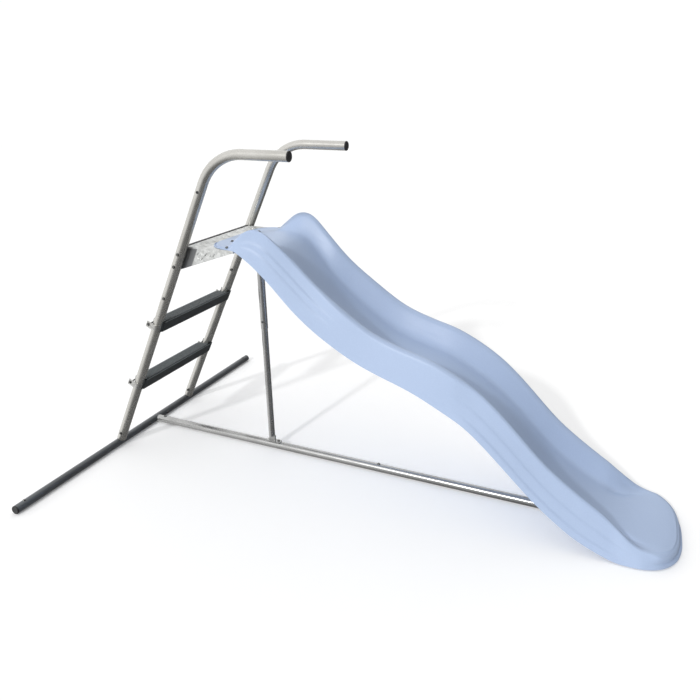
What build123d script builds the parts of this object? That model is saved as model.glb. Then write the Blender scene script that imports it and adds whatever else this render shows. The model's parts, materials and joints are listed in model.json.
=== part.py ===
"""A child's garden slide: steel ladder with a platform and handrails, on a tee-shaped
floor frame, with a wavy moulded chute.

Millimetres, +Z up.  +X runs from the ladder towards the nose of the chute, and +Y is on
the left of a child who climbs the ladder and faces +X.  The origin is on the floor, in
the middle of the slide's length and width.  Places along the slide are given forwards
from the axis of the floor tube at its back.
"""
from build123d import *

import os
from math import cos, radians, sin, tan

os.makedirs("parts", exist_ok=True)

# ---------------------------------------------------------------- driving dimensions
overall_length = 2110.0       # back of the floor tube to the tip of the nose
ladder_spacing = 464.0        # between the axes of the two ladder tubes
ladder_lean = 23.85           # degrees from upright
ladder_tube_radius = 18.0
ladder_wall = 1.5
ladder_leg_start = 17.0       # from the floor tube's axis, up the ladder tube
ladder_joint_height = 640.0   # where the upper tube slides over the lower one
ladder_spigot_length = 80.0
swage_shoulder = 4.0          # along a tube, where it narrows to its spigot
handrail_height = 1196.0      # axis of the level part of the handrail
handrail_reach = 806.0        # forwards, to the end of the bare tube
handrail_bend_radius = 170.0
joint_bolt_height = 667.0
foot_bolt_height = 62.0       # through the foot of each ladder tube
rail_plug_height = 1065.0

floor_tube_radius = 15.0
floor_tube_wall = 1.5
floor_width = 1540.0          # over the end caps
floor_cap_thickness = 5.0
floor_cap_spigot = 50.0
floor_spigot_tip = 30.0       # how near the middle each floor tube's spigot reaches
tee_half_length = 104.0
tee_bolt_y = 62.0
tee_bolt_grip = 16.0
tee_bolt_hole = (5.0, 20.0)   # forwards, through the front walls alone
end_screw_y = 727.0
ladder_stub = (8.0, 86.0)     # the stub on the floor tube, up the ladder tube from its axis
stub_clear = 32.0             # half the length of bore that is kept clear under the stub
stub_weld = 0.7               # how deep the stub is let into the floor tube's wall
spine_stub_length = 80.0      # the branch of the tee
spine_rear_bolt = 50.0
spine_joint = 1030.0
spine_joint_bolt = spine_joint + 16
spine_end = 1760.0
spine_spigot_length = 70.0
spine_pinch = 45.0            # where the round tube is pressed flat
spine_flat = (70.0, 34.0, 4.0)
spine_flat_corner = 12.0
spine_pressed = (19.0, 2.4)   # half the width and height of the tube where it is flat
spine_gap = 1.0               # between the floor tube and the spine's end

platform_height = 864.0
platform_front = 572.0
plate = 2.0
gusset_drop = 88.0
gusset_foot = 12.0            # half the length of the gusset's lower end
platform_bolt_heights = (792.0, 839.0)
tongue_bolt_places = ((497.0, 97.0), (536.0, 194.0))

step_heights = {"lower": 313.0, "upper": 568.0}
step_thickness = 42.0
step_front = 27.0             # forward of the tube's axis, along the level
step_back = 38.0
step_shell = 4.0
strap_thickness = 2.5
strap_height = 24.0
strap_reach = 35.0            # behind the tube's axis
strap_bolt_inset = 8.0        # from the strap's rear edge
nut_pocket_radius = 9.0
nut_pocket_depth = 44.0

prop_foot = 585.0
prop_head = 551.0
prop_head_drop = 30.0         # from the platform's top to where the prop's axis is aimed
prop_bolt_offset = 27.0       # from the prop's axis to the bolt in its foot
prop_bolt_y = 32.0
prop_lower_radius = 12.5
prop_upper_radius = 14.0
prop_lower_wall = 1.5
prop_plug = (52.0, 60.0)      # heights of the solid end of the lower tube
prop_overlap = 70.0           # of the lower tube inside the upper one
prop_joint_height = 511.0
prop_screw_rise = 30.0        # from the joint up to the screw through it
prop_foot_plate = (62.0, 24.0, 3.0)
prop_foot_web = (30.0, 7.0, 24.0)
prop_head_plate = (38.0, 90.0, 4.0)

chute_wall = 5.0
chute_edge_half = 216.0       # to the lower edge of its skirt
chute_floor_half = 108.0
chute_tongue_back = 452.0     # the flat tongue that lies on the platform
chute_tongue_half = 208.0
chute_tongue_corner = 90.0
chute_tongue_front = 575.0    # where the chute's own floor has taken over
boss_radius = 16.0            # the pillar under the nose that the spine is bolted to
boss_top = 88.0
boss_forward = 45.0           # of the end of the spine's tube
boss_hole_top = 62.0
nose_bolt_top = 58.0

fit_gap = 0.2                 # between a spigot and the bore that it fills
bolt_radius = 3.0
bolt_head_radius = 6.5
bolt_head_height = 4.0
bolt_head_taper = 32
bolt_tail = 9.0               # shank beyond the work, through the nut
nut_radius = 6.5
nut_thickness = 5.0
past = 1.0                    # how far a cut runs beyond the face it opens
tube_cross_reach = 24.0       # half the length of a hole across a ladder tube

# ---------------------------------------------------------------- derived places
base_x = -overall_length / 2 + floor_tube_radius
floor_top = 2 * floor_tube_radius
floor_tube_end = floor_width / 2 - floor_cap_thickness
floor_spigot_radius = floor_tube_radius - floor_tube_wall - fit_gap
lean = radians(ladder_lean)
up_tube = Vector(sin(lean), 0, cos(lean))
side_y = ladder_spacing / 2
spigot_radius = ladder_tube_radius - ladder_wall - fit_gap
boss_x = spine_end + boss_forward
nose_tip = overall_length - floor_tube_radius
SIDES = {"right": -1, "left": 1}


def place(x, y=0.0, z=floor_tube_radius):
    """A point x forwards of the floor tube's axis, y to the left and z up."""
    return Vector(base_x + x, y, z)


def ladder_axis_x(z):
    """X of a ladder tube's axis at height z."""
    return base_x + (z - floor_tube_radius) * tan(lean)


def ladder_point(z, side):
    """A point on the axis of one ladder tube at height z."""
    return Vector(ladder_axis_x(z), side * side_y, z)


def ladder_plane(z, side):
    """Across a ladder tube at height z: x forwards, y to the left, z up the tube."""
    return Plane(origin=ladder_point(z, side), x_dir=(cos(lean), 0, -sin(lean)), z_dir=up_tube)


def finish(piece, label):
    """Name a finished piece and write it."""
    piece.part.label = label
    export_step(piece.part, f"parts/{label}.step")


def tube(start, end, radius, wall):
    """Add a straight tube to the piece being built."""
    axis = end - start
    with BuildSketch(Plane(origin=start, z_dir=axis.normalized())) as ring:
        Circle(radius)
        Circle(radius - wall, mode=Mode.SUBTRACT)
    extrude(ring.sketch, amount=axis.length)


def rod(start, end, radius, mode=Mode.ADD):
    """Add or cut a straight round bar."""
    axis = end - start
    with BuildSketch(Plane(origin=start, z_dir=axis.normalized())) as disc:
        Circle(radius)
    extrude(disc.sketch, amount=axis.length, mode=mode)


def bolt_hole(start, end):
    """Cut a clearance hole for a bolt."""
    rod(start, end, bolt_radius + fit_gap, Mode.SUBTRACT)


def upright_hole(x, y, low, high):
    """Cut an upright bolt hole through the work between two heights."""
    bolt_hole(place(x, y, low - past), place(x, y, high + past))


def cross_hole(middle, reach=tube_cross_reach):
    """Cut a bolt hole from side to side."""
    bolt_hole(middle - Vector(0, reach, 0), middle + Vector(0, reach, 0))


def bolt(head_at, direction, grip):
    """Add a domed bolt with its nut.  head_at is where the head meets the work."""
    way = Vector(*direction)
    with BuildSketch(Plane(origin=head_at, z_dir=way * -1)) as head:
        Circle(bolt_head_radius)
    extrude(head.sketch, amount=bolt_head_height, taper=bolt_head_taper)
    rod(head_at, head_at + way * (grip + bolt_tail), bolt_radius)
    with BuildSketch(Plane(origin=head_at + way * grip, z_dir=way)) as nut:
        RegularPolygon(radius=nut_radius, side_count=6)
    extrude(nut.sketch, amount=nut_thickness)


def swaged_end(start, end, radius, wall, spigot):
    """Add the narrowed end of a tube, from its shoulder at start to its tip at end."""
    neck = start - (end - start).normalized() * swage_shoulder
    tube(start, neck, radius, radius - spigot + wall)
    tube(neck, end, spigot, wall)


# ---------------------------------------------------------------- floor tube
with BuildPart() as floor_tee:
    tube(place(0, -tee_half_length), place(0, tee_half_length), floor_tube_radius, floor_tube_wall)
    rod(place(0), place(spine_stub_length), floor_spigot_radius)
    rod(place(0), place(spine_stub_length), floor_spigot_radius - floor_tube_wall, Mode.SUBTRACT)
    rod(place(0, -tee_half_length), place(0, tee_half_length),
        floor_tube_radius - floor_tube_wall, Mode.SUBTRACT)
    for side in SIDES.values():
        bolt_hole(place(tee_bolt_hole[0], side * tee_bolt_y), place(tee_bolt_hole[1], side * tee_bolt_y))
    upright_hole(spine_rear_bolt, 0, 0, floor_top)
finish(floor_tee, "floor_tee")

screw_radius = 2.0
screw_head_radius = 6.0
screw_seat = 0.5              # how far the screw's head is sunk into the tube's crown
for name, side in SIDES.items():
    tee_end = place(0, side * (tee_half_length + fit_gap))
    tube_end = place(0, side * floor_tube_end)
    screw_low = place(0, side * end_screw_y)
    screw_high = place(0, side * end_screw_y, floor_top + past)

    with BuildPart() as floor_tube:
        foot = ladder_point(floor_tube_radius, side)
        tube(foot + up_tube * ladder_stub[0], foot + up_tube * ladder_stub[1], spigot_radius, ladder_wall)
        rod(place(0, side * (side_y - stub_clear)), place(0, side * (side_y + stub_clear)),
            floor_tube_radius - stub_weld, Mode.SUBTRACT)
        tube(tee_end, tube_end, floor_tube_radius, floor_tube_wall)
        swaged_end(tee_end, place(0, side * floor_spigot_tip),
                   floor_tube_radius, floor_tube_wall, floor_spigot_radius)
        bolt_hole(place(tee_bolt_hole[0], side * tee_bolt_y), place(tee_bolt_hole[1], side * tee_bolt_y))
        rod(screw_low, screw_high, screw_radius + fit_gap, Mode.SUBTRACT)
        rod(place(0, side * end_screw_y, floor_top - screw_seat), screw_high,
            screw_head_radius + 0.1, Mode.SUBTRACT)
        cross_hole(ladder_point(foot_bolt_height, side))
    finish(floor_tube, f"floor_tube_{name}")

    with BuildPart() as floor_cap:
        rod(tube_end, place(0, side * floor_width / 2), floor_tube_radius)
        fillet(floor_cap.faces().sort_by(Axis.Y)[-1 if side > 0 else 0].edges(), 2.5)
        rod(place(0, side * (floor_tube_end - floor_cap_spigot)), tube_end, floor_spigot_radius)
        rod(screw_low - Vector(0, 0, past), screw_high, screw_radius + fit_gap, Mode.SUBTRACT)
    finish(floor_cap, f"floor_cap_{name}")

with BuildPart() as floor_end_screws:
    for side in SIDES.values():
        rod(place(0, side * end_screw_y, floor_tube_radius + 1),
            place(0, side * end_screw_y, floor_top + past), screw_radius)
        with BuildSketch(Plane.XY.offset(floor_top - screw_seat)):
            with Locations((base_x, side * end_screw_y)):
                Circle(screw_head_radius)
        extrude(amount=3.5, taper=35)
finish(floor_end_screws, "floor_end_screws")

with BuildPart() as floor_tee_bolts:
    for side in SIDES.values():
        bolt(place(floor_tube_radius, side * tee_bolt_y), (-1, 0, 0), tee_bolt_grip)
finish(floor_tee_bolts, "floor_tee_bolts")

# ---------------------------------------------------------------- spine along the floor
with BuildPart() as spine_rear:
    tube(place(floor_tube_radius + spine_gap), place(spine_joint), floor_tube_radius, floor_tube_wall)
    swaged_end(place(spine_joint), place(spine_joint + spine_spigot_length),
               floor_tube_radius, floor_tube_wall, floor_spigot_radius)
    for x in (spine_rear_bolt, spine_joint_bolt, prop_foot + prop_bolt_offset):
        upright_hole(x, 0, 0, floor_top)
finish(spine_rear, "spine_rear")

flat_length, flat_width, flat_thickness = spine_flat
with BuildPart() as spine_front:
    tube(place(spine_joint + fit_gap), place(spine_end - spine_pinch), floor_tube_radius, floor_tube_wall)
    with BuildSketch(Plane.YZ.offset(base_x + spine_end - spine_pinch)):
        with Locations((0, floor_tube_radius)):
            Circle(floor_tube_radius)
    with BuildSketch(Plane.YZ.offset(base_x + spine_end)):
        with Locations((0, floor_tube_radius)):
            Ellipse(*spine_pressed)
    loft()
    upright_hole(spine_joint_bolt, 0, 0, floor_top)
    with BuildSketch(Plane.XY.offset(floor_tube_radius - flat_thickness / 2)):
        with Locations(place(spine_end + flat_length / 2, 0, 0)):
            RectangleRounded(flat_length + 10, flat_width, spine_flat_corner)
    extrude(amount=flat_thickness)
    bolt_hole(place(boss_x, 0, 10), place(boss_x, 0, 20))
finish(spine_front, "spine_front")

with BuildPart() as spine_bolts:
    for x in (spine_rear_bolt, spine_joint_bolt):
        bolt(place(x, 0, floor_top), (0, 0, -1), 20)
finish(spine_bolts, "spine_bolts")

# ---------------------------------------------------------------- ladder tubes and handrails
handrail_cap_depth = 28.0
handrail_cap_thickness = 5.0
handrail_cap_wall = 2.5
rail_plug_radius = 5.0
rail_plug_stem = 3.3
rail_plug_seat = 0.4          # how far the plug's head is sunk into the tube's side
for name, side in SIDES.items():
    foot = ladder_point(floor_tube_radius, side)
    joint = ladder_point(ladder_joint_height, side)
    with BuildPart() as ladder_leg:
        tube(foot + up_tube * ladder_leg_start, joint, ladder_tube_radius, ladder_wall)
        swaged_end(joint, joint + up_tube * ladder_spigot_length,
                   ladder_tube_radius, ladder_wall, spigot_radius)
        for z in (joint_bolt_height, foot_bolt_height):
            cross_hole(ladder_point(z, side))
    finish(ladder_leg, f"ladder_leg_{name}")

    rail_start = joint + up_tube * fit_gap
    rail_end = place(handrail_reach, side * side_y, handrail_height)
    plug_hole = ladder_point(rail_plug_height, side)
    outwards = Vector(0, side, 0)
    with BuildPart() as handrail:
        with BuildLine():
            FilletPolyline(rail_start, ladder_point(handrail_height, side), rail_end,
                           radius=handrail_bend_radius)
        with BuildSketch(Plane(origin=rail_start, z_dir=up_tube)):
            Circle(ladder_tube_radius)
            Circle(ladder_tube_radius - ladder_wall, mode=Mode.SUBTRACT)
        sweep()
        for z in (joint_bolt_height, *platform_bolt_heights):
            cross_hole(ladder_point(z, side))
        rod(plug_hole, plug_hole + outwards * tube_cross_reach, rail_plug_stem + fit_gap, Mode.SUBTRACT)
        rod(plug_hole + outwards * (ladder_tube_radius - rail_plug_seat),
            plug_hole + outwards * tube_cross_reach, rail_plug_radius + 0.1, Mode.SUBTRACT)
    finish(handrail, f"handrail_{name}")

    cap_depth = Vector(handrail_cap_depth, 0, 0)
    with BuildPart() as handrail_cap:
        rod(rail_end, rail_end + Vector(handrail_cap_thickness, 0, 0), ladder_tube_radius)
        fillet(handrail_cap.faces().sort_by(Axis.X)[-1].edges(), 3)
        rod(rail_end - cap_depth, rail_end, spigot_radius)
        rod(rail_end - cap_depth, rail_end - Vector(2, 0, 0), spigot_radius - handrail_cap_wall,
            Mode.SUBTRACT)
    finish(handrail_cap, f"handrail_cap_{name}")

with BuildPart() as rail_plugs:
    for side in SIDES.values():
        outwards = Vector(0, side, 0)
        seat = ladder_point(rail_plug_height, side) + outwards * (ladder_tube_radius - rail_plug_seat)
        rod(seat - outwards * 4, seat, rail_plug_stem)
        rod(seat, seat + outwards * 1.8, rail_plug_radius)
finish(rail_plugs, "rail_plugs")

for label, height in (("ladder_joint_bolts", joint_bolt_height), ("ladder_foot_bolts", foot_bolt_height)):
    with BuildPart() as cross_bolts:
        for side in SIDES.values():
            outside = ladder_point(height, side) + Vector(0, side * ladder_tube_radius, 0)
            bolt(outside, (0, -side, 0), 2 * ladder_tube_radius)
    finish(cross_bolts, label)

# ---------------------------------------------------------------- steps
step_half = side_y + 5
strap_radius = ladder_tube_radius + strap_thickness
notch_radius = strap_radius + fit_gap
notch_run = 60.0              # longer than the step is deep
for name, top in step_heights.items():
    bottom = top - step_thickness
    strap_z = top - step_thickness / 2
    inner_top = top - step_shell
    inner_bottom = bottom - past
    with BuildPart() as step:
        with BuildSketch(Plane.XZ):
            with BuildLine():
                Polyline((ladder_axis_x(top) - step_back, top), (ladder_axis_x(top) + step_front, top),
                         (ladder_axis_x(bottom) + step_front, bottom),
                         (ladder_axis_x(bottom) - step_back, bottom), close=True)
            make_face()
        extrude(amount=step_half, both=True)
        with BuildSketch(Plane.XZ):
            with BuildLine():
                Polyline((ladder_axis_x(inner_top) - step_back + step_shell, inner_top),
                         (ladder_axis_x(inner_top) + step_front - step_shell, inner_top),
                         (ladder_axis_x(inner_bottom) + step_front - step_shell, inner_bottom),
                         (ladder_axis_x(inner_bottom) - step_back + step_shell, inner_bottom), close=True)
            make_face()
        extrude(amount=side_y - notch_radius - step_shell, both=True, mode=Mode.SUBTRACT)
        for side in SIDES.values():
            with BuildSketch(ladder_plane(bottom - notch_run / 2, side)):
                Circle(notch_radius)
                with Locations((-notch_run / 2, 0)):
                    Rectangle(notch_run, 2 * notch_radius)
                with Locations((-notch_run / 2, side * 25)):
                    Rectangle(notch_run, 50)
            extrude(amount=2 * notch_run, mode=Mode.SUBTRACT)
            nut_at = ladder_plane(strap_z, side).from_local_coords(
                Vector(strap_bolt_inset - strap_reach, 0, 0))
            rod(nut_at - Vector(0, side * nut_pocket_depth, 0), nut_at, nut_pocket_radius, Mode.SUBTRACT)
    finish(step, f"step_{name}")

    for side_name, side in SIDES.items():
        with BuildPart() as strap:
            with BuildSketch(ladder_plane(strap_z, side)):
                Circle(strap_radius)
                with Locations((-strap_reach / 2, 0)):
                    Rectangle(strap_reach, 2 * strap_radius)
                Circle(ladder_tube_radius, mode=Mode.SUBTRACT)
                with Locations((-strap_reach / 2, 0)):
                    Rectangle(strap_reach, 2 * ladder_tube_radius, mode=Mode.SUBTRACT)
            extrude(amount=strap_height / 2, both=True)
            cross_hole(ladder_plane(strap_z, side).from_local_coords(
                Vector(strap_bolt_inset - strap_reach, 0, 0)))
        finish(strap, f"step_strap_{name}_{side_name}")

    with BuildPart() as strap_bolts:
        for side in SIDES.values():
            outside = ladder_plane(strap_z, side).from_local_coords(
                Vector(strap_bolt_inset - strap_reach, side * strap_radius, 0))
            bolt(outside, (0, -side, 0), 2 * strap_radius)
    finish(strap_bolts, f"step_bolts_{name}")

# ---------------------------------------------------------------- platform
platform_gap = 0.5            # between a gusset and its ladder tube
gusset_nose = 8.0             # the gusset's height at the platform's front
apron = (1.0, 10.0)           # below the top, of the fold along the platform's front
platform_half = side_y - ladder_tube_radius - platform_gap
gusset_low = platform_height - gusset_drop
platform_back = ladder_axis_x(platform_height) - 2
front = base_x + platform_front
with BuildPart() as platform:
    with BuildSketch(Plane.XY.offset(platform_height - plate)):
        with Locations(((platform_back + front) / 2, 0)):
            Rectangle(front - platform_back, 2 * platform_half)
    extrude(amount=plate)
    for side in SIDES.values():
        with BuildSketch(Plane.XZ.offset(-side * (platform_half - plate / 2))):
            with BuildLine():
                Polyline((platform_back - gusset_foot, platform_height), (front, platform_height),
                         (front, platform_height - gusset_nose),
                         (ladder_axis_x(gusset_low) + gusset_foot, gusset_low),
                         (ladder_axis_x(gusset_low) - gusset_foot, gusset_low), close=True)
            make_face()
        extrude(amount=plate / 2, both=True)
    with BuildSketch(Plane.XY.offset(platform_height - apron[1])):
        with Locations((front - plate / 2, 0)):
            Rectangle(plate, 2 * platform_half)
    extrude(amount=apron[1] - apron[0])
    for x, y in (*tongue_bolt_places, (prop_head, prop_bolt_y)):
        for side in SIDES.values():
            upright_hole(x, side * y, platform_height - plate, platform_height)
    for z in platform_bolt_heights:
        cross_hole(Vector(ladder_axis_x(z), 0, z), side_y)
finish(platform, "platform")

trim_width = 8.0
trim_lip = 2.5                # of trim above and below the plate
with BuildPart() as platform_edge_trim:
    with BuildSketch(Plane.XZ):
        with Locations((platform_back + trim_width / 4, platform_height - plate / 2)):
            Rectangle(trim_width, plate + 2 * trim_lip)
        with Locations((platform_back + 3, platform_height - plate / 2)):
            Rectangle(6, plate, mode=Mode.SUBTRACT)
    extrude(amount=platform_half - plate - 1, both=True)
finish(platform_edge_trim, "platform_edge_trim")

with BuildPart() as platform_bolts:
    for side in SIDES.values():
        for z in platform_bolt_heights:
            outside = Vector(ladder_axis_x(z), side * (side_y + ladder_tube_radius), z)
            bolt(outside, (0, -side, 0), 2 * ladder_tube_radius + platform_gap + plate)
finish(platform_bolts, "platform_bolts")

# ---------------------------------------------------------------- prop under the platform
prop_top = platform_height - prop_head_drop
prop_way = (place(prop_head, 0, prop_top) - place(prop_foot, 0, 0)).normalized()


def prop_point(z):
    """A point on the prop's axis at height z."""
    return place(prop_foot, 0, 0) + prop_way * (z / prop_way.Z)


def prop_screw_hole():
    """Cut the hole through both tubes of the prop for the screw that fixes its length."""
    middle = prop_point(prop_joint_height + prop_screw_rise)
    rod(middle - Vector(0, 20, 0), middle + Vector(0, 20, 0), screw_radius + fit_gap, Mode.SUBTRACT)


foot_length, foot_width, foot_thickness = prop_foot_plate
web_length, web_width, web_height = prop_foot_web
head_length, head_width, head_thickness = prop_head_plate
with BuildPart() as prop_lower:
    tube(prop_point(prop_plug[1] - 2), prop_point(prop_joint_height + prop_overlap),
         prop_lower_radius, prop_lower_wall)
    rod(prop_point(prop_plug[0]), prop_point(prop_plug[1]), prop_lower_radius)
    with BuildSketch(Plane.XY.offset(floor_top)):
        with Locations(place(prop_foot + 8, 0, 0)):
            RectangleRounded(foot_length, foot_width, 6)
    extrude(amount=foot_thickness)
    with BuildSketch(Plane.XY.offset(floor_top + 2)):
        with Locations(place(prop_foot, 0, 0)):
            RectangleRounded(web_length, web_width, 2.5)
    extrude(amount=web_height)
    upright_hole(prop_foot + prop_bolt_offset, 0, floor_top, floor_top + foot_thickness)
    prop_screw_hole()
finish(prop_lower, "prop_lower")

head_low = platform_height - plate - head_thickness
with BuildPart() as prop_upper:
    tube(prop_point(prop_joint_height), prop_point(prop_top - 4), prop_upper_radius,
         prop_upper_radius - prop_lower_radius - 0.1)
    with BuildSketch(Plane.XY.offset(head_low)):
        with Locations(place(prop_head, 0, 0)):
            RectangleRounded(head_length, head_width, 8)
    extrude(amount=head_thickness)
    rod(prop_point(prop_top - 6), prop_point(head_low + 2), prop_upper_radius)
    prop_screw_hole()
    for side in SIDES.values():
        upright_hole(prop_head, side * prop_bolt_y, head_low, head_low + head_thickness)
finish(prop_upper, "prop_upper")

with BuildPart() as prop_foot_bolt:
    bolt(place(prop_foot + prop_bolt_offset, 0, floor_top + foot_thickness), (0, 0, -1), 18)
finish(prop_foot_bolt, "prop_foot_bolt")

with BuildPart() as prop_joint_screw:
    joint_at = prop_point(prop_joint_height + prop_screw_rise)
    rod(joint_at - Vector(0, prop_upper_radius + 1, 0), joint_at + Vector(0, 6, 0), screw_radius)
    with BuildSketch(Plane.XZ.offset(prop_upper_radius)):
        with Locations((joint_at.X, joint_at.Z)):
            Circle(4.5)
    extrude(amount=3, taper=30)
finish(prop_joint_screw, "prop_joint_screw")

# ---------------------------------------------------------------- chute
rim_reach = 17.0              # from the crest across to its shoulder, on either side
rim_shoulder = 14.0           # down from the crest, outside
rim_inside = 12.0             # down from the crest, inside
foot_reach = 18.0             # from the edge of the floor out to the foot of the wall
foot_rise = 12.0
under_rim = 6.0               # how much lower and narrower the rim is underneath
under_foot = (22.0, 1.0)      # out from the floor's edge and down, at the foot underneath
# Lines of the side view: forwards, and up.
crest_line = [(545, 877), (575, 904), (610, 932), (650, 942), (690, 928), (740, 884), (790, 838), (850, 780),
              (950, 704), (1075, 624), (1190, 583), (1290, 555), (1430, 483), (1520, 410),
              (1655, 276), (1720, 224), (1810, 163), (1900, 107), (1980, 58), (2040, 49), (2075, 36),
              (2090, 24)]
floor_line = [(545, 869), (580, 869), (600, 869), (635, 867), (680, 853), (735, 803), (790, 745), (850, 688),
              (950, 612), (1075, 537), (1190, 499), (1290, 469), (1430, 391), (1520, 318), (1655, 186),
              (1720, 139), (1810, 89), (1900, 59), (1980, 50), (2040, 44), (2075, 32), (2090, 20)]
skirt_line = [(545, 864), (574, 864), (584, 859), (640, 822), (716, 757), (801, 673), (894, 602), (1018, 531),
              (1096, 499), (1230, 453), (1329, 406), (1412, 361), (1485, 300), (1642, 153), (1719, 93),
              (1772, 57), (1874, 14), (1950, 0), (2095, 0)]
# From above: forwards, and from the middle of the chute to the crest of its rim.
rim_line = [(545, 194), (640, 194), (690, 194), (800, 171), (850, 171), (2090, 171)]
# The nose from above: forwards, and half the width.
nose_line = [(1950, 216), (1990, 212), (2030, 192), (2062, 158), (2082, 114), (2090, 88)]
stations = [545, 560, 574, 586, 604, 625, 650, 680, 710, 740, 775, 815, 860, 910, 970, 1035, 1100, 1170, 1235,
            1295, 1355, 1410, 1465, 1520, 1575, 1635, 1690, 1740, 1790, 1845, 1900, 1950, 1990, 2030, 2062,
            2082, 2090]
nose_cap_start = 2084.0       # the nose is solid from here to its tip
nose_cap_shrink = 0.72        # of its section at the tip


def follow(line, x):
    """Height of a smooth line through the points of line, at x."""
    if x <= line[0][0]:
        return line[0][1]
    for (before, here, there, after) in zip([line[0], *line], line, line[1:], [*line[2:], line[-1]]):
        if x <= there[0]:
            span = there[0] - here[0]
            t = (x - here[0]) / span
            slope_here = (there[1] - before[1]) / (there[0] - before[0]) * span
            slope_there = (after[1] - here[1]) / (after[0] - here[0]) * span
            return (here[1] * (2 * t**3 - 3 * t**2 + 1) + slope_here * (t**3 - 2 * t**2 + t)
                    + there[1] * (3 * t**2 - 2 * t**3) + slope_there * (t**3 - t**2))
    return line[-1][1]


def half_section(x):
    """The chute's section at x, from the skirt's edge over the rim to the floor, and back below."""
    crest, floor, skirt = follow(crest_line, x), follow(floor_line, x), max(0, follow(skirt_line, x))
    rim_half = follow(rim_line, x)
    squeeze = follow(nose_line, x) / chute_edge_half
    rise = crest - floor
    shoulder, inside = crest - min(rim_shoulder, rise / 2), crest - min(rim_inside, 0.4 * rise)
    above = [(chute_edge_half, skirt), (rim_half + rim_reach, shoulder), (rim_half, crest),
             (rim_half - rim_reach, inside),
             (chute_floor_half + foot_reach, floor + min(foot_rise, 0.3 * rise)), (chute_floor_half, floor)]
    below = [(chute_floor_half, floor - chute_wall),
             (chute_floor_half + under_foot[0], floor - under_foot[1]),
             (rim_half - rim_reach + under_rim, inside - chute_wall), (rim_half, crest - under_rim),
             (rim_half + rim_reach - under_rim, shoulder - chute_wall),
             (chute_edge_half - chute_wall, skirt)]
    return ([(y * squeeze, z) for y, z in above], [(y * squeeze, z) for y, z in below])


with BuildPart() as chute:
    for x in stations:
        above, below = half_section(x)
        with BuildSketch(Plane.YZ.offset(base_x + x)):
            with BuildLine():
                Polyline(*above, *[(-y, z) for y, z in reversed(above)],
                         *[(-y, z) for y, z in reversed(below)], *below, close=True)
            make_face()
    loft(ruled=True)
    for x, shrink in ((nose_cap_start, 1.0), (nose_tip, nose_cap_shrink)):
        rim, _ = half_section(min(x, stations[-1]))
        with BuildSketch(Plane.YZ.offset(base_x + x)):
            with BuildLine():
                Polyline(*[(y * shrink, z * shrink) for y, z in (rim[0], rim[2])],
                         *[(-y * shrink, z * shrink) for y, z in (rim[2], rim[0])], close=True)
            make_face()
    loft(ruled=True)
    with BuildSketch(Plane.XY.offset(platform_height)):
        with Locations(place(chute_tongue_back + chute_tongue_corner + past, 0, 0)):
            RectangleRounded(2 * (chute_tongue_corner + past), 2 * chute_tongue_half, chute_tongue_corner)
        with Locations(place(chute_tongue_front + chute_tongue_corner, 0, 0)):
            Rectangle(2 * chute_tongue_corner, 2 * chute_tongue_half + past, mode=Mode.SUBTRACT)
    extrude(amount=chute_wall)
    boss_foot = place(boss_x, 0, floor_tube_radius + flat_thickness / 2)
    rod(boss_foot, place(boss_x, 0, boss_top), boss_radius)
    bolt_hole(boss_foot, place(boss_x, 0, boss_hole_top))
    for x, y in (*tongue_bolt_places, (prop_head, prop_bolt_y)):
        for side in SIDES.values():
            upright_hole(x, side * y, platform_height, platform_height + chute_wall)
finish(chute, "chute")

with BuildPart() as tongue_bolts:
    for x, y in tongue_bolt_places:
        for side in SIDES.values():
            bolt(place(x, side * y, platform_height + chute_wall), (0, 0, -1), chute_wall + plate)
finish(tongue_bolts, "tongue_bolts")

with BuildPart() as prop_bolts:
    for side in SIDES.values():
        bolt(place(prop_head, side * prop_bolt_y, platform_height + chute_wall), (0, 0, -1),
             chute_wall + plate + head_thickness)
finish(prop_bolts, "prop_bolts")

with BuildPart() as nose_bolt:
    rod(place(boss_x, 0, floor_tube_radius - 3), place(boss_x, 0, nose_bolt_top), bolt_radius)
    with BuildSketch(Plane.XY.offset(floor_tube_radius - flat_thickness / 2)):
        with Locations(place(boss_x, 0, 0)):
            Circle(8)
    extrude(amount=-4.5, taper=30)
finish(nose_bolt, "nose_bolt")
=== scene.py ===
"""A toddler's garden slide: what it looks like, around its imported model.

Metres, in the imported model's own frame: +X from the ladder towards the nose of the chute,
+Y to the left of a child who climbs the ladder, +Z up, and the floor at 0.
"""

import json
from math import atan, cos, pi, radians, sin, sqrt, tan

import bmesh
import bpy
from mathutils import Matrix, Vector


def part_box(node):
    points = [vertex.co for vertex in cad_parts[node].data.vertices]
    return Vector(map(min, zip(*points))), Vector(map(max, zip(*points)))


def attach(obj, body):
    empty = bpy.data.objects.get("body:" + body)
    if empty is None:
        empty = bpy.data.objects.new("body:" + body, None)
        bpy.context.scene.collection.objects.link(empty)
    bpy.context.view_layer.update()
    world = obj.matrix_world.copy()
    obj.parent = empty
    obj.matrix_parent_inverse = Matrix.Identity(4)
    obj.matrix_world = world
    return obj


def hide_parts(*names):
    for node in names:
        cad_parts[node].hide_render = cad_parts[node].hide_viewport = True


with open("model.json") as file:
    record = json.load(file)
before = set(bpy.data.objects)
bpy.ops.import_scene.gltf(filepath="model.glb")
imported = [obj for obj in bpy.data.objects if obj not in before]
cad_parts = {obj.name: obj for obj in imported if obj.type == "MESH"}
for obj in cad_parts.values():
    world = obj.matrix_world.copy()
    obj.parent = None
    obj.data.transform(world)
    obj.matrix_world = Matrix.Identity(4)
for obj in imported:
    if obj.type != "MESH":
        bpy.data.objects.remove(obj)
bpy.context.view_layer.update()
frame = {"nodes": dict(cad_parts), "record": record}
scene = bpy.context.scene

TUBE_RADIUS = 0.018           # of the ladder's and the handrails' tubes
TREAD_DEPTH = 0.065           # of a tread's top, from front to back
TUBE_SETBACK = 0.027          # from a tread's front edge back to the axis of the ladder's tubes

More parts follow.
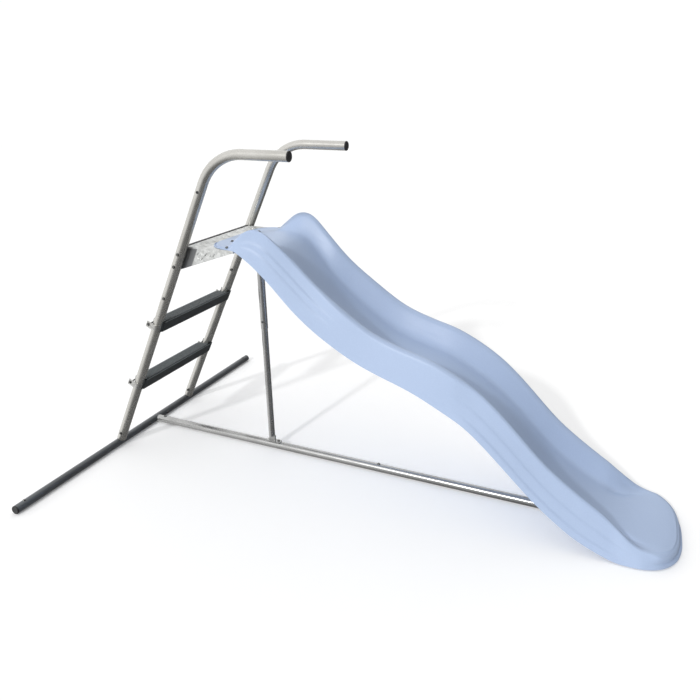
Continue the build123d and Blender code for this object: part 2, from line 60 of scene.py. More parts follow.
# ---------------------------------------------------------------- places read from the frame
cap_low, cap_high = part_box("floor_cap_right")
base_x = (cap_low.x + cap_high.x) / 2       # the floor tube's axis
edge_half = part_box("chute")[1].y            # from the chute's middle to its skirt's lower edge
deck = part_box("platform")[1].z
platform_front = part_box("platform")[1].x
platform_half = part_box("platform")[1].y
tread_low, tread_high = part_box("step_upper")
lean = atan((tread_high.x - tread_low.x - TREAD_DEPTH) / (tread_high.z - tread_low.z))
tube_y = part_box("handrail_left")[1].y - TUBE_RADIUS
tube_foot_x = tread_high.x - TUBE_SETBACK - tread_high.z * tan(lean)    # a ladder tube's axis, at the floor


# ---------------------------------------------------------------- camera
def add_camera():
    """The camera, to the right of the slide's lower half and a little above its handrails."""
    data = bpy.data.cameras.new("camera")
    data.lens = 35.35
    data.sensor_width = 36.0
    data.shift_x, data.shift_y = 0.0199, -0.0684
    camera = bpy.data.objects.new("camera", data)
    camera.location = (0.7987, -2.1935, 1.4004)
    camera.rotation_euler = (radians(72.76), 0, radians(23.87))
    scene.collection.objects.link(camera)
    scene.camera = camera


# ---------------------------------------------------------------- node helpers
class Nodes:
    """Short names for building one material's nodes."""

    def __init__(self, name):
        self.material = bpy.data.materials.new(name)
        self.material.use_nodes = True
        self.tree = self.material.node_tree
        self.shader = self.tree.nodes["Principled BSDF"]
        self.coordinates = self.tree.nodes.new("ShaderNodeTexCoord").outputs["Object"]

    def add(self, kind, inputs=(), **settings):
        """Add a node, with its settings, and fill its inputs with values or other outputs."""
        node = self.tree.nodes.new(kind)
        for key, value in settings.items():
            setattr(node, key, value)
        for key, value in dict(inputs).items():
            self.feed(node.inputs[key], value)
        return node

    def feed(self, socket, value):
        """Link an output to a socket, or set the socket to a value."""
        if isinstance(value, bpy.types.NodeSocket):
            self.tree.links.new(value, socket)
        else:
            socket.default_value = value

    def stretched(self, scale):
        """The object's coordinates, scaled."""
        return self.add("ShaderNodeMapping", {"Vector": self.coordinates, "Scale": scale}).outputs["Vector"]

    def noise(self, scale, detail=4.0, vector=None, roughness=0.55):
        return self.add("ShaderNodeTexNoise", {"Vector": vector or self.coordinates, "Scale": scale,
                                               "Detail": detail, "Roughness": roughness}).outputs["Fac"]

    def spread(self, value, low, high, to_low, to_high):
        """Map a range of a value onto another range, held at its ends."""
        return self.add("ShaderNodeMapRange", {"Value": value, "From Min": low, "From Max": high,
                                               "To Min": to_low, "To Max": to_high}).outputs["Result"]

    def blend(self, amount, first, second):
        """A colour between two colours: the Mix node's colour sockets are 6 and 7 in, 2 out."""
        node = self.add("ShaderNodeMix", data_type="RGBA")
        self.feed(node.inputs[0], amount)
        self.feed(node.inputs[6], first)
        self.feed(node.inputs[7], second)
        return node.outputs[2]

    def total(self, first, second):
        return self.add("ShaderNodeMath", {0: first, 1: second}, operation="ADD").outputs[0]

    def times(self, first, second):
        return self.add("ShaderNodeMath", {0: first, 1: second}, operation="MULTIPLY").outputs[0]

    def bump(self, height, distance, strength=1.0):
        node = self.add("ShaderNodeBump", {"Height": height, "Distance": distance, "Strength": strength})
        self.feed(self.shader.inputs["Normal"], node.outputs["Normal"])

    def surface(self, **values):
        """Fill the shader's own sockets, named with underscores for spaces."""
        for key, value in values.items():
            self.feed(self.shader.inputs[key.replace("_", " ")], value)
        return self.material


# ---------------------------------------------------------------- materials
GUSSET_ROOT = 0.050           # of plain plate on a gusset, ahead of its tube's axis, where a painted shadow of the tube darkens it


def powder_coat(name, light, dark, metallic, roughness):
    """Baked powder paint: a fine orange peel, cloudy wear and small dull specks."""
    n = Nodes(name)
    cloud = n.noise(7.0, 5.0)
    speck = n.spread(n.noise(420.0, 2.0), 0.62, 0.72, 0.0, 1.0)
    base = n.blend(n.spread(cloud, 0.35, 0.65, 0.0, 1.0), light, dark)
    base = n.blend(n.times(speck, 0.10), base, tuple(c * 0.55 for c in dark[:3]) + (1,))
    scuff = n.noise(1.0, 6.0, n.stretched((14, 60, 14)), 0.7)
    rough = n.total(n.spread(scuff, 0.4, 0.7, roughness - 0.04, roughness + 0.06), n.times(speck, 0.05))
    n.bump(n.total(n.noise(900.0, 1.0), n.times(cloud, 0.3)), 0.00004, 0.3)
    return n.surface(Base_Color=base, Roughness=rough, Metallic=metallic)


def galvanised_plate():
    """Hot-dip zinc: pale crystals a centimetre across, with dull patches where shoes wear it, and a painted
    shadow of the tube darkening the plain rear of each gusset.
    """
    n = Nodes("galvanised_plate")
    crystals = n.add("ShaderNodeTexVoronoi", {"Vector": n.coordinates, "Scale": 95.0})
    shade = n.add("ShaderNodeSeparateColor", {0: crystals.outputs["Color"]}).outputs[0]
    base = n.blend(shade, (0.56, 0.57, 0.56, 1), (0.80, 0.81, 0.80, 1))
    dirt = n.spread(n.noise(24.0, 6.0), 0.50, 0.72, 0.0, 0.55)
    base = n.blend(dirt, base, (0.36, 0.36, 0.34, 1))
    place = n.add("ShaderNodeSeparateXYZ", {0: n.coordinates}).outputs
    ahead = n.total(place[0], n.times(place[2], -tan(lean)))
    # Painted shadow of the ladder tube: the plain rear of each gusset, below the deck, is coloured dark.
    root = n.times(n.spread(ahead, tube_foot_x + GUSSET_ROOT, tube_foot_x + GUSSET_ROOT + 0.004, 1.0, 0.0),
                   n.spread(place[2], deck - 0.008, deck - 0.004, 1.0, 0.0))
    base = n.blend(root, base, (0.20, 0.205, 0.21, 1))
    rough = n.total(n.spread(shade, 0, 1, 0.34, 0.50), n.times(dirt, 0.2))
    n.bump(n.total(shade, n.noise(300.0, 3.0)), 0.0002, 0.4)
    return n.surface(Base_Color=base, Roughness=rough, Metallic=0.72)


def zinc(name, light, dark):
    """Zinc plating, dulled unevenly."""
    n = Nodes(name)
    stain = n.noise(160.0, 5.0)
    base = n.blend(n.spread(stain, 0.42, 0.62, 0, 1), light, dark)
    n.bump(n.noise(1400.0, 2.0), 0.0001, 0.5)
    return n.surface(Base_Color=base, Roughness=n.spread(stain, 0.3, 0.7, 0.28, 0.52), Metallic=0.9)


def black_plastic():
    """Matt black end caps, with a fine moulded grain."""
    n = Nodes("black_plastic")
    base = n.blend(n.noise(60.0, 4.0), (0.012, 0.012, 0.013, 1), (0.030, 0.031, 0.033, 1))
    n.bump(n.noise(1500.0, 2.0), 0.0001, 0.6)
    return n.surface(Base_Color=base, Roughness=n.spread(n.noise(90.0), 0.3, 0.7, 0.40, 0.58))


def step_plastic():
    """Charcoal treads, greyer on their tops than on their sides: patchy dust, with painted light on the
    tops.
    """
    n = Nodes("step_plastic")
    up = n.add("ShaderNodeSeparateXYZ", {0: n.add("ShaderNodeNewGeometry").outputs["Normal"]}).outputs[2]
    # Painted top light, with patchy dust: faces that look up are coloured lighter than the sides.
    dust_and_top_light = n.times(n.spread(up, 0.5, 0.95, 0.0, 1.0), n.spread(n.noise(38.0, 6.0), 0.3, 0.7, 0.65, 1.0))
    base = n.blend(dust_and_top_light, (0.022, 0.027, 0.029, 1), (0.125, 0.150, 0.158, 1))
    n.bump(n.noise(1100.0, 3.0), 0.00018, 0.6)
    return n.surface(Base_Color=base, Roughness=n.spread(dust_and_top_light, 0, 1, 0.42, 0.62))


def chute_plastic():
    """Pale blue polyethylene: a faint cloudiness, a pebbled mould grain and long fine scuffs."""
    n = Nodes("chute_plastic")
    cloud = n.spread(n.noise(3.2, 5.0), 0.3, 0.7, 0.0, 1.0)
    fleck = n.spread(n.noise(260.0, 2.0), 0.45, 0.75, 0.0, 0.35)
    base = n.blend(cloud, (0.428, 0.533, 0.732, 1), (0.406, 0.508, 0.704, 1))
    base = n.blend(fleck, base, (0.475, 0.585, 0.785, 1))
    scuff = n.spread(n.noise(1.0, 7.0, n.stretched((5, 230, 5)), 0.7), 0.52, 0.75, 0.0, 1.0)
    rough = n.total(n.spread(cloud, 0, 1, 0.36, 0.42), n.times(scuff, 0.16))
    grain = n.total(n.noise(520.0, 3.0), n.times(scuff, 0.25))
    n.bump(n.total(grain, n.times(n.noise(14.0, 3.0), 1.4)), 0.00035, 0.45)
    return n.surface(Base_Color=base, Roughness=rough, IOR=1.5)


def floor_paint():
    """White paint that glows a little, so that only the slide's own shadow shows on it."""
    n = Nodes("studio_floor")
    base = n.blend(n.noise(2.0), (0.88, 0.88, 0.88, 1), (0.90, 0.90, 0.90, 1))
    return n.surface(Base_Color=base, Roughness=1.0, Specular_IOR_Level=0.0,
                     Emission_Color=(1, 1, 1, 1), Emission_Strength=0.15)


MATERIALS = {
    "ladder_steel": powder_coat("ladder_steel", (0.58, 0.57, 0.54, 1), (0.51, 0.50, 0.47, 1), 0.82, 0.25),
    "floor_steel": powder_coat("floor_steel", (0.13, 0.14, 0.15, 1), (0.10, 0.105, 0.11, 1), 0.45, 0.38),
    "spine_steel": powder_coat("spine_steel", (0.46, 0.46, 0.455, 1), (0.40, 0.40, 0.395, 1), 0.82, 0.25),
    "tread_plate": galvanised_plate(),
    "zinc_steel": zinc("zinc_clamp", (0.62, 0.62, 0.60, 1), (0.40, 0.395, 0.38, 1)),
    "black_plastic": black_plastic(),
    "step_plastic": step_plastic(),
    "chute_plastic": chute_plastic(),
}
DARK_ZINC = zinc("zinc_fastener", (0.20, 0.20, 0.195, 1), (0.07, 0.068, 0.065, 1))


# ---------------------------------------------------------------- mesh helpers
def add_piece(name, points, faces, slot, *nodes):
    """Make a smooth mesh that rides on the slide and stands for the named CAD nodes."""
    mesh = bpy.data.meshes.new(name)
    mesh.from_pydata([tuple(p) for p in points], [], faces)
    mesh.validate()
    mesh.polygons.foreach_set("use_smooth", [True] * len(mesh.polygons))
    return dress(bpy.data.objects.new(name, mesh), slot, *nodes)


def dress(piece, slot, *nodes):
    """Give a piece its material and its body, and hide the CAD nodes that it stands for."""
    piece.data.materials.append(MATERIALS[slot])
    scene.collection.objects.link(piece)
    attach(piece, "root")
    if nodes:
        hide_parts(*nodes)
    return piece


def modify(piece, kind, **settings):
    modifier = piece.modifiers.new(kind.lower(), kind)
    for key, value in settings.items():
        setattr(modifier, key, value)


def follow(line, x):
    """Height of a smooth line through the points of line, at x."""
    if x <= line[0][0]:
        return line[0][1]
    for (before, here, there, after) in zip([line[0], *line], line, line[1:], [*line[2:], line[-1]]):
        if x <= there[0]:
            span = there[0] - here[0]
            t = (x - here[0]) / span
            slope_here = (there[1] - before[1]) / (there[0] - before[0]) * span
            slope_there = (after[1] - here[1]) / (after[0] - here[0]) * span
            return (here[1] * (2 * t**3 - 3 * t**2 + 1) + slope_here * (t**3 - 2 * t**2 + t)
                    + there[1] * (3 * t**2 - 2 * t**3) + slope_there * (t**3 - t**2))
    return line[-1][1]


def smooth_step(low, high, value):
    t = min(1.0, max(0.0, (value - low) / (high - low)))
    return t * t * (3 - 2 * t)


# ---------------------------------------------------------------- chute
# Lines of the side view: forwards of the floor tube's axis, and up, in metres.
CREST = [(0.545, 0.877), (0.575, 0.904), (0.610, 0.932), (0.650, 0.942), (0.690, 0.928), (0.740, 0.884),
         (0.790, 0.838), (0.850, 0.780), (0.950, 0.704), (1.075, 0.624), (1.190, 0.583),
         (1.290, 0.555), (1.430, 0.483), (1.520, 0.410), (1.655, 0.276), (1.720, 0.224), (1.810, 0.163),
         (1.900, 0.107), (1.980, 0.058), (2.030, 0.0475), (2.075, 0.039), (2.096, 0.033)]
FLOOR = [(0.545, 0.869), (0.580, 0.869), (0.600, 0.869), (0.635, 0.867), (0.680, 0.853), (0.735, 0.803),
         (0.790, 0.745), (0.850, 0.688), (0.950, 0.612), (1.075, 0.537), (1.190, 0.499), (1.290, 0.469),
         (1.430, 0.391), (1.520, 0.318), (1.655, 0.186), (1.720, 0.139), (1.810, 0.089), (1.900, 0.059),
         (1.980, 0.050), (2.030, 0.0465), (2.075, 0.038), (2.096, 0.032)]
SKIRT = [(0.545, 0.864), (0.574, 0.864), (0.584, 0.859), (0.640, 0.822), (0.716, 0.757), (0.801, 0.673),
         (0.894, 0.602), (1.018, 0.531), (1.096, 0.499), (1.230, 0.453), (1.329, 0.406), (1.412, 0.361),
         (1.485, 0.300), (1.642, 0.153), (1.719, 0.093), (1.772, 0.057), (1.874, 0.014), (1.950, 0.001),
         (2.096, 0.001)]
# From above: forwards, and from the middle of the chute to the crest of its rim.
RIM = [(0.545, 0.194), (0.640, 0.194), (0.690, 0.194), (0.800, 0.171), (0.850, 0.171), (2.096, 0.171)]
# The nose from above: forwards, and half the width.
NOSE = [(1.850, 0.216), (1.950, 0.216), (1.990, 0.211), (2.030, 0.192), (2.060, 0.162), (2.080, 0.124),
        (2.091, 0.078), (2.0945, 0.040), (2.095, 0.0)]
FAN_X = 1.850                 # where the sections stop being square to the slide and fan round the nose
FAN_GAP = 0.030               # from the last square section to there
STATION_PITCH = 0.036         # between square sections, past the ears
TONGUE_X, EAR_X = 0.452, 0.545              # the tongue's rear edge, and the rear of the ears
TONGUE_HALF, TONGUE_CORNER = 0.208, 0.088   # half the tongue's width, and its corners' radius
SHEET = 0.0045                # the moulding's wall
LOWEST = 0.0048               # of the cage, so that the sheet's thickness stays above the floor
LEDGE, LIP_OVERHANG = 0.009, 0.002          # round the nose, where its lip is undercut above a flange
GROOVE_START, GROOVE_FULL = 2.010, 2.030    # where that undercut begins, and where it is full
GROOVE_RISE, GROOVE_SOFT = 0.08, 0.08       # how far it lifts and softens the lower ridge
RIDGE_EDGE = 0.012            # how sharply a ridge steps in, as a share of the skirt's height
RIDGE_STEP = 0.0040           # how far a ridge steps in
UPPER_RIDGES = (0.585, 0.640, 0.860, 0.960) # where the ridges start, are full, fade and end
LOWER_RIDGES = (1.360, 1.430, 1.880, 1.960)
SKIRT_LEAN = 0.58             # how much of the rim's inset the skirt has taken at its top
CREST_BEND, NOSE_BEND = 0.014, 0.013        # radius over the crest, and over the nose's lip
NOSE_SLIM = 0.62              # how much narrower than the rim the nose's lip is
NOSE_START, NOSE_TIP = 1.955, 2.075         # where the rim begins to turn into the lip, and has turned
NOSE_STEPS, NOSE_RAYS = 20, 44              # steps between two points of NOSE, and sections round it
WALL_ROOM = 0.8               # of a ray round the nose, the most that its wall may take
PAD_ROW = 13                  # the first row of a section inside the crest


def tongue_half(x):
    """Half the width of the sheet at x: the tongue's rounded corners, then the ears."""
    inset = max(0.0, TONGUE_X + TONGUE_CORNER - x)
    corner = TONGUE_CORNER - sqrt(max(0.0, TONGUE_CORNER**2 - inset**2))
    return TONGUE_HALF - corner + (edge_half - TONGUE_HALF) * smooth_step(EAR_X - 0.012, EAR_X + 0.030, x)


def plateau(x, start, full, fade, end):
    """1 along a stretch of the slide, falling smoothly to 0 at both its ends."""
    return smooth_step(start, full, x) * (1 - smooth_step(fade, end, x))


def ridge(x):
    """How strongly the two ridges of the skirt stand out, and where on its height they run."""
    share = smooth_step(1.0, 1.3, x)
    strength = max(plateau(x, *UPPER_RIDGES), plateau(x, *LOWER_RIDGES))
    return strength, 0.48 + (0.22 - 0.48) * share, 0.71 + (0.58 - 0.71) * share


def section(x, nose):
    """(inset from the edge, height) from the skirt's edge, over the crest, to the foot of the wall.

    nose goes from 0 beside the chute to 1 at its very tip, where the skirt is a low upright lip.
    """
    crest, floor, skirt = follow(CREST, x), follow(FLOOR, x), max(LOWEST, follow(SKIRT, x))
    ears = smooth_step(EAR_X - 0.020, EAR_X + 0.010, x)
    crest = floor + (crest - floor) * ears
    skirt = floor + (skirt - floor) * ears
    rise = crest - floor
    lip = 1 - NOSE_SLIM * nose
    bend = max(min(CREST_BEND, rise / 2 + 0.004), NOSE_BEND * nose)
    top = crest - bend
    depth, first, second = ridge(x)
    groove = nose_groove(x, nose)
    first += GROOVE_RISE * groove
    step = RIDGE_STEP * depth
    rim = (edge_half - follow(RIM, x)) * lip
    rows = []
    soft = RIDGE_EDGE + GROOVE_SOFT * groove
    for share in (0.0, 0.02, 0.10, first - soft, first + soft, (first + second) / 2,
                  second - RIDGE_EDGE, second + RIDGE_EDGE, 0.90, 1.0):
        inwards = step * ((share > first) + (share > second)) + SKIRT_LEAN * rim * share
        under_lip = LEDGE - LIP_OVERHANG * share if share > first else 0.0
        rows.append((inwards * (1 - groove) + under_lip * groove, skirt + (top - skirt) * share))
    start = rows[-1][0]
    for turn in (0.35, 0.7, 1.0):
        angle = turn * pi / 2
        rows.append((start + (rim - start) * (1 - cos(angle)), top + bend * sin(angle)))
    drop = min(0.012, 0.4 * rise)
    foot = floor + min(0.012, 0.3 * rise)
    for inset, height in ((0.007, crest - drop * 0.12), (0.014, crest - drop * 0.62),
                          (0.018, crest - drop), (0.031, (crest - drop + foot) / 2), (0.045, foot),
                          (0.053, floor + (foot - floor) * 0.35), (0.066, floor)):
        rows.append((rim + inset * lip, height))
    return rows


def nose_groove(x, nose):
    """The under-cut line that runs round the nose and stops at a seam on each side."""
    return smooth_step(GROOVE_START, GROOVE_FULL, x) if nose > 0 else 0.0


INNER = 5                     # rows of faces between the foot of the wall and the middle


def row_points(edge, centre, rows):
    """Points from the edge towards the centre, at the insets and heights of the rows."""
    way = Vector(centre) - Vector(edge)
    length = way.length
    way.normalize()
    points = [(edge[0] + way.x * inset, edge[1] + way.y * inset, height) for inset, height in rows]
    last = rows[-1][0]
    for i in range(1, INNER + 1):
        inset = last + (length - last) * i / INNER
        x, y = edge[0] + way.x * inset, edge[1] + way.y * inset
        points.append((x, y, follow(FLOOR, x)))
    return points


def curve(z, a, b, c, t):
    """The value a share t of the way from a to b, on a smooth curve that comes from z and goes to c."""
    return 0.5 * (2 * a + (b - z) * t + (2 * z - 5 * a + 4 * b - c) * t**2
                  + (3 * a - z - 3 * b + c) * t**3)


def nose_outline(count):
    """Points round the nose, from the right-hand side to the left, evenly spaced."""
    half = []
    for i in range(len(NOSE) - 1):
        before = NOSE[max(0, i - 1)]
        after = NOSE[i + 2] if i + 2 < len(NOSE) else (NOSE[-2][0], -NOSE[-2][1])
        for k in range(NOSE_STEPS):
            half.append(tuple(curve(*values, k / NOSE_STEPS)
                              for values in zip(before, NOSE[i], NOSE[i + 1], after)))
    half.append(NOSE[-1])
    line = [(x, -y) for x, y in half] + [(x, y) for x, y in reversed(half[:-1])]
    lengths = [0.0]
    for a, b in zip(line, line[1:]):
        lengths.append(lengths[-1] + sqrt((a[0] - b[0]) ** 2 + (a[1] - b[1]) ** 2))
    places, k = [], 0
    for i in range(count + 1):
        target = lengths[-1] * i / count
        while k < len(line) - 2 and lengths[k + 1] < target:
            k += 1
        t = (target - lengths[k]) / (lengths[k + 1] - lengths[k])
        places.append((line[k][0] + (line[k + 1][0] - line[k][0]) * t,
                       line[k][1] + (line[k + 1][1] - line[k][1]) * t))
    return places


def square_stations():
    """Where the square sections stand: close together over the tongue and the ears, then evenly."""
    stations = [TONGUE_X + 0.0005, 0.457, 0.466, 0.477, 0.490, 0.508, 0.526, 0.538, 0.548, 0.558,
                0.570, 0.582, 0.596, 0.612, 0.630, 0.650, 0.672, 0.696, 0.724, 0.756]
    while stations[-1] < FAN_X - FAN_GAP:
        stations.append(min(stations[-1] + STATION_PITCH, FAN_X - FAN_GAP))
    return stations


def build_chute():
    """The chute as one moulded sheet: tongue, ears, waves, ridged skirts and a rounded nose."""
    points, faces = [], []

    def add(place):
        points.append((base_x + place[0], place[1], place[2]))
        return len(points) - 1

    lines = []
    for x in square_stations():
        half = tongue_half(x)
        squeeze = half / edge_half
        rows = [(inset * squeeze, height) for inset, height in section(x, 0.0)]
        across = row_points((x, -half), (x, 0.0), rows)
        right = [add(p) for p in across]
        left = [add((px, -py, pz)) for px, py, pz in across[:-1]]
        lines.append(right + left[::-1])
    for before, after in zip(lines, lines[1:]):
        for i in range(len(before) - 1):
            faces.append((before[i], after[i], after[i + 1], before[i + 1]))

    pole = add((FAN_X, 0.0, follow(FLOOR, FAN_X)))
    rays = []
    for x, y in nose_outline(NOSE_RAYS):
        nose = smooth_step(NOSE_START, NOSE_TIP, x)
        reach = sqrt((x - FAN_X) ** 2 + y**2)
        rows = section(x, nose)
        crowding = max(1.0, rows[-1][0] / (reach * WALL_ROOM))
        rows = [(inset / crowding, height) for inset, height in rows]
        blend = smooth_step(0.2, 0.9, nose)
        ray = row_points((x, y), (FAN_X, 0.0), rows)[:-1]
        ray = [(px, py, pz + blend * (i >= PAD_ROW) * (follow(FLOOR, px) - pz))
               for i, (px, py, pz) in enumerate(ray)]
        rays.append([add(p) for p in ray] + [pole])
    for here, there in zip(rays, rays[1:]):
        for i in range(len(here) - 2):
            faces.append((here[i], there[i], there[i + 1], here[i + 1]))
        faces.append((here[-2], there[-2], pole))
    middle = rays[0] + rays[-1][-2::-1]
    for i in range(len(middle) - 1):
        faces.append((lines[-1][i], middle[i], middle[i + 1], lines[-1][i + 1]))

    chute = add_piece("chute_moulding", points, faces, "chute_plastic", "chute")
    modify(chute, "SUBSURF", levels=2, render_levels=2)
    modify(chute, "SOLIDIFY", thickness=SHEET, offset=-1.0, use_even_offset=False)


# ---------------------------------------------------------------- light
def add_sun(towards, strength, angle):
    """Soft sunlight; towards points from the slide to the sun, and angle is its width in degrees."""
    data = bpy.data.lights.new("sun", "SUN")
    data.energy, data.angle, data.specular_factor = strength, radians(angle), 0.15
    sun = bpy.data.objects.new("sun", data)
    sun.rotation_euler = Vector(towards).to_track_quat("Z", "Y").to_euler()
    scene.collection.objects.link(sun)


SKY_TILT = -0.6               # the weight of height beside the way forwards: brighter higher up
BACKDROP = 1.02               # how bright the surround looks to the camera


def add_world():
    """A white backdrop, and a surround that is bright above and behind the ladder, dim beyond the nose."""
    world = bpy.data.worlds.new("studio")
    scene.world = world
    world.use_nodes = True
    nodes, links = world.node_tree.nodes, world.node_tree.links
    way = nodes.new("ShaderNodeSeparateXYZ")
    links.new(nodes.new("ShaderNodeTexCoord").outputs["Generated"], way.inputs[0])
    fade = nodes.new("ShaderNodeMapRange")
    fade.interpolation_type = "SMOOTHSTEP"
    for key, value in {"From Min": -0.70, "From Max": 0.55, "To Min": 1.14, "To Max": 0.10}.items():
        fade.inputs[key].default_value = value
    lean_up = nodes.new("ShaderNodeMath")
    lean_up.operation = "MULTIPLY_ADD"
    lean_up.inputs[1].default_value = SKY_TILT
    links.new(way.outputs[2], lean_up.inputs[0])
    links.new(way.outputs[0], lean_up.inputs[2])
    links.new(lean_up.outputs[0], fade.inputs["Value"])
    seen = nodes.new("ShaderNodeMix")
    links.new(nodes.new("ShaderNodeLightPath").outputs["Is Camera Ray"], seen.inputs[0])
    links.new(fade.outputs["Result"], seen.inputs[2])
    seen.inputs[3].default_value = BACKDROP
    nodes["Background"].inputs["Color"].default_value = (1, 1, 1, 1)
    links.new(seen.outputs[0], nodes["Background"].inputs["Strength"])


def add_studio():
    """A white floor and soft light from the near side."""
    mesh = bpy.data.meshes.new("studio_floor")
    reach = 14.0
    corners = [(-reach, -reach, 0), (reach, -reach, 0), (reach, reach, 0), (-reach, reach, 0)]
    mesh.from_pydata(corners, [], [(0, 1, 2, 3)])
    mesh.materials.append(floor_paint())
    floor = bpy.data.objects.new("studio_floor", mesh)
    scene.collection.objects.link(floor)
    floor.visible_glossy = False
    add_world()
    add_sun(towards=(-0.16, -0.90, 0.50), strength=1.12, angle=3.0)
    scene.view_settings.view_transform = "Standard"


# ---------------------------------------------------------------- steps
TREAD_REACH = 0.237           # half the length of a tread
TREAD_BEVEL = 0.011           # across each front corner
TREAD_CORNER = 0.014          # radius of each rear corner
TREAD_WALL, END_BLOCK = 0.004, 0.030        # its wall, and the solid length beside each notch
NOTCH = 0.0207                # the clear radius round each tube
NOTCH_START = -0.24           # radians: its arc begins outside the point straight ahead of the tube
NOTCH_STEPS, CORNER_STEPS = 8, 6
RIB_PITCH, RIB_HALF, RIB_HEIGHT = 0.0092, 0.0025, 0.0022
RIB_SINK, RIB_TAPER = 0.0006, 0.0011        # into the tread, and along each end's slope
RIB_BEHIND, RIB_AHEAD, RIB_BESIDE = 0.006, 0.005, 0.008    # plain margins round the ribs


def tread_outline(front, back, axis):
    """A tread from above: bevelled front ends past the tubes, a notch round each, rounded rear corners."""
    inner = tube_y - NOTCH
    stretch = 1 / cos(lean)
    half = [(front, TREAD_REACH - TREAD_BEVEL), (front - TREAD_BEVEL, TREAD_REACH)]
    for i in range(NOTCH_STEPS + 1):
        angle = NOTCH_START + (pi / 2 - NOTCH_START) * i / NOTCH_STEPS
        half.append((axis + NOTCH * stretch * cos(angle), tube_y - NOTCH * sin(angle)))
    for i in range(CORNER_STEPS + 1):
        angle = pi / 2 * i / CORNER_STEPS
        half.append((back + TREAD_CORNER * (1 - sin(angle)), inner - TREAD_CORNER * (1 - cos(angle))))
    return half + [(x, -y) for x, y in reversed(half)]


def prism(shell, outline, top, bottom, holes=()):
    """Add a leaning prism to a bmesh, closed above and below, with the holes open below."""
    rings = []
    for height in (top, bottom):
        slide = (height - top) * tan(lean)
        rings.append([shell.verts.new((x + slide, y, height)) for x, y in outline])
    upper, lower = rings
    count = len(outline)
    for i in range(count):
        shell.faces.new((upper[i], upper[(i + 1) % count], lower[(i + 1) % count], lower[i]))
    shell.faces.new(upper[::-1])
    rims = [lower]
    for hole, roof in holes:
        mouth = [shell.verts.new((x + (bottom - top) * tan(lean), y, bottom)) for x, y in hole]
        ceiling = [shell.verts.new((x + (roof - top) * tan(lean), y, roof)) for x, y in hole]
        for i in range(len(hole)):
            j = (i + 1) % len(hole)
            shell.faces.new((mouth[i], mouth[j], ceiling[j], ceiling[i]))
        shell.faces.new(ceiling)
        rims.append(mouth)
    edges = []
    for rim in rims:
        edges += [shell.edges.get((a, b)) for a, b in zip(rim, rim[1:] + rim[:1])]
    bmesh.ops.triangle_fill(shell, edges=edges, use_beauty=True)


def add_rib(shell, x0, x1, y, z):
    """Add a low rib along X, narrower at its top and sunk a little into what it lies on."""
    loops = []
    for x, rise in ((x0, 0.0), (x0 + RIB_TAPER, 1.0), (x1 - RIB_TAPER, 1.0), (x1, 0.0)):
        top = z + RIB_HEIGHT * rise
        loops.append([shell.verts.new(p) for p in (
            (x, y - RIB_HALF, z - RIB_SINK), (x, y - RIB_HALF, z), (x, y - RIB_HALF * 0.55, top),
            (x, y + RIB_HALF * 0.55, top), (x, y + RIB_HALF, z), (x, y + RIB_HALF, z - RIB_SINK))])
    for a, b in zip(loops, loops[1:]):
        for i in range(6):
            shell.faces.new((a[i], b[i], b[(i + 1) % 6], a[(i + 1) % 6]))
    shell.faces.new(loops[0])
    shell.faces.new(loops[-1][::-1])


def mesh_piece(name, shell, slot, *nodes):
    """Turn a bmesh into a flat-shaded piece."""
    bmesh.ops.recalc_face_normals(shell, faces=shell.faces)
    mesh = bpy.data.meshes.new(name)
    shell.to_mesh(mesh)
    shell.free()
    return dress(bpy.data.objects.new(name, mesh), slot, *nodes)


def build_tread(label):
    """A moulded tread: ribbed on top, open underneath between its end blocks."""
    low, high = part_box(f"step_{label}")
    top = high.z - RIB_HEIGHT
    front, back = high.x, high.x - TREAD_DEPTH
    axis = high.x - TUBE_SETBACK
    shell = bmesh.new()
    x0, x1, y1 = back + TREAD_WALL, front - TREAD_WALL, tube_y - NOTCH - END_BLOCK
    hollow = [(x1, y1), (x0, y1), (x0, -y1), (x1, -y1)]
    prism(shell, tread_outline(front, back, axis), top, low.z, [(hollow, top - TREAD_WALL)])
    tread = mesh_piece(f"tread_{label}", shell, "step_plastic", f"step_{label}")
    modify(tread, "BEVEL", width=0.0016, segments=2, limit_method="ANGLE")
    ribs = bmesh.new()
    count = int((tube_y - NOTCH - RIB_BESIDE) / RIB_PITCH)
    for i in range(-count, count + 1):
        add_rib(ribs, back + RIB_BEHIND, front - RIB_AHEAD, i * RIB_PITCH, top)
    mesh_piece(f"tread_ribs_{label}", ribs, "step_plastic")


# ---------------------------------------------------------------- tread plate
LOZENGE = (0.0120, 0.0036, 0.0018)          # half the length, half the width, height
LOZENGE_PITCH = 0.0165
LOZENGE_SINK = 0.0003         # into the plate, so that no gap shows under it
PATTERN_MARGIN = 0.010        # of plain plate along its edges
DECK_GRID, GUSSET_GRID = (16, 27), (18, 7)  # places for lozenges, columns and rows


def add_lozenge(shell, centre, along, across, out):
    """Add one raised lozenge: a long diamond whose sides rise to a short ridge."""
    length, width, height = LOZENGE
    sunk = out * -LOZENGE_SINK
    base = [shell.verts.new(centre + sunk + v) for v in
            (along * length, across * width, along * -length, across * -width)]
    ridge_ends = [shell.verts.new(centre + out * height + along * length * k) for k in (0.45, -0.45)]
    shell.faces.new((base[0], base[1], ridge_ends[0]))
    shell.faces.new((base[1], ridge_ends[1], ridge_ends[0]))
    shell.faces.new((base[1], base[2], ridge_ends[1]))
    shell.faces.new((base[2], base[3], ridge_ends[1]))
    shell.faces.new((base[3], ridge_ends[0], ridge_ends[1]))
    shell.faces.new((base[3], base[0], ridge_ends[0]))
    shell.faces.new(base)


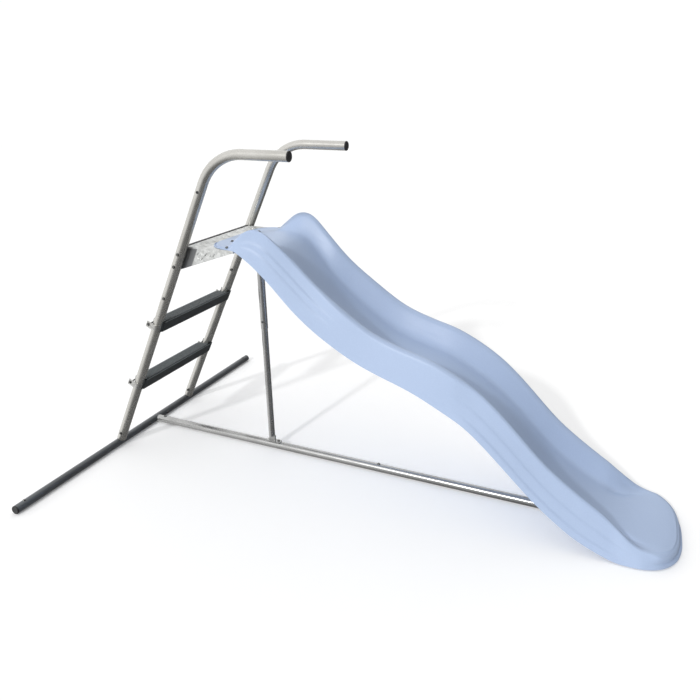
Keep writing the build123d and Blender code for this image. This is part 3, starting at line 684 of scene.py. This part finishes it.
def lozenges(shell, origin, right, up, out, columns, rows, inside):
    """Cover a flat patch with lozenges that lean left and right by turns."""
    for i in range(columns):
        for j in range(rows):
            centre = origin + right * (i * LOZENGE_PITCH) + up * (j * LOZENGE_PITCH)
            if not inside(centre):
                continue
            way = 1 if (i + j) % 2 else -1
            along = (right + up * way).normalized()
            add_lozenge(shell, centre, along, (right * -way + up).normalized(), out)


def build_tread_plate():
    """The raised pattern of the platform's tread plate, on its top and down both gussets."""
    shell = bmesh.new()
    edge = tube_foot_x + deck * tan(lean)
    x_way, y_way, z_way = Vector((1, 0, 0)), Vector((0, 1, 0)), Vector((0, 0, 1))
    lowest = deck - 0.088                                     # a gusset's lowest corner
    corner = tube_foot_x + lowest * tan(lean) + 0.012         # and how far forward it is
    slope = (deck - 0.008 - lowest) / (platform_front - corner)

    def on_deck(p):
        return (edge + PATTERN_MARGIN + 0.004 < p.x < base_x + TONGUE_X + 0.004
                and abs(p.y) < platform_half - PATTERN_MARGIN)

    def on_gusset(p):
        under = lowest + (p.x - corner) * slope
        return (p.x > tube_foot_x + p.z * tan(lean) + GUSSET_ROOT + 0.008
                and under + PATTERN_MARGIN < p.z < deck - 0.009 and p.x < platform_front - 0.012)

    lozenges(shell, Vector((edge, -platform_half, deck)), x_way, y_way, z_way, *DECK_GRID, on_deck)
    for side in (-1, 1):
        lozenges(shell, Vector((edge, side * platform_half, deck - 0.090)), x_way, z_way,
                 y_way * side, *GUSSET_GRID, on_gusset)
    mesh_piece("tread_pattern", shell, "tread_plate")


# ---------------------------------------------------------------- put it together
def paint_frame_nodes():
    """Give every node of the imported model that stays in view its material."""
    for entry in frame["record"]["subparts"]:
        node = frame["nodes"][entry["node"]]
        fastener = any(word in entry["node"] for word in ("bolt", "screw"))
        node.data.materials.clear()
        node.data.materials.append(DARK_ZINC if fastener else MATERIALS[entry["material_slot"]])


add_camera()
add_studio()
paint_frame_nodes()
build_chute()
build_tread("lower")
build_tread("upper")
build_tread_plate()
